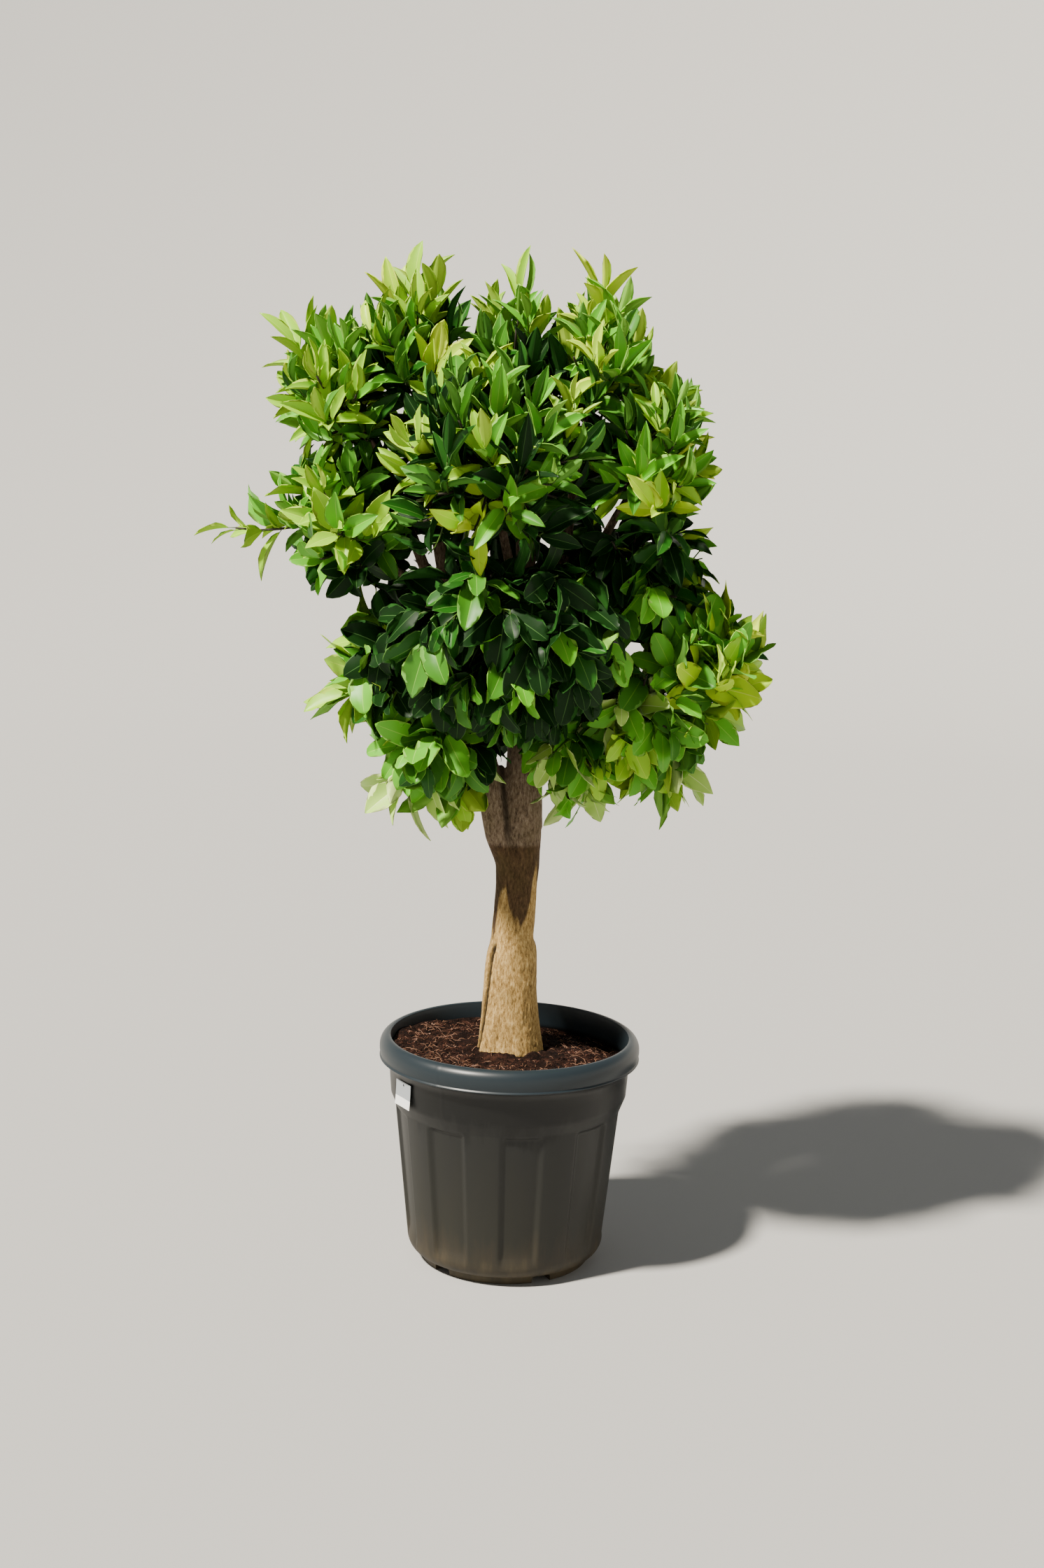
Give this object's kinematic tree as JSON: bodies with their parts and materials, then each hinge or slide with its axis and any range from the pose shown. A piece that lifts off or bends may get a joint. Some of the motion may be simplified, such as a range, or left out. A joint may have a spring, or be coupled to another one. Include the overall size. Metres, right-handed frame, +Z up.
{
  "type": "potted lemon tree",
  "caption": "Lemon tree on a thick forked stem with a full rounded leafy crown, in soil in a round fluted nursery pot with a rolled rim.",
  "frame": {"origin": "centre of the pot's flat underside, on the floor it stands on", "axes": "+Z up along the trunk, -Y towards the pictured front, +X to the right of the front"},
  "size_m": [1.0521, 0.7055, 1.7791],
  "materials": {
    "pot_plastic": "matt, dusty",
    "soil": "rough, crumbly",
    "label_plastic": "satin",
    "bark": "rough bark",
    "young_leaves": "satin",
    "grown_leaves": "satin",
    "shaded_leaves": "satin"
  },
  "bodies": {
    "root": {"pot": "pot_plastic", "soil": "soil", "tag": "label_plastic", "trunk": "bark", "bough_left": "bark", "bough_right": "bark", "bough_left_upper": "bark", "bough_left_middle": "bark", "bough_left_lower": "bark", "bough_bottom_left": "bark", "bough_top_right": "bark", "bough_right_upper": "bark", "bough_right_middle": "bark", "bough_right_outer": "bark", "bough_right_hanging": "bark", "bough_bottom_right": "bark", "bough_front_upper": "bark", "bough_front_lower": "bark", "bough_back_upper": "bark", "bough_back_lower": "bark", "foliage_left": "young_leaves", "foliage_right": "young_leaves", "foliage_top_right": "young_leaves", "foliage_left_upper": "young_leaves", "foliage_right_upper": "young_leaves", "foliage_left_middle": "grown_leaves", "foliage_right_middle": "grown_leaves", "foliage_right_hanging": "grown_leaves", "foliage_right_outer": "grown_leaves", "foliage_front_upper": "grown_leaves", "foliage_back_upper": "grown_leaves", "foliage_left_lower": "shaded_leaves", "foliage_bottom_left": "shaded_leaves", "foliage_bottom_right": "shaded_leaves", "foliage_front_lower": "shaded_leaves", "foliage_back_lower": "shaded_leaves"}
  },
  "joints": []
}
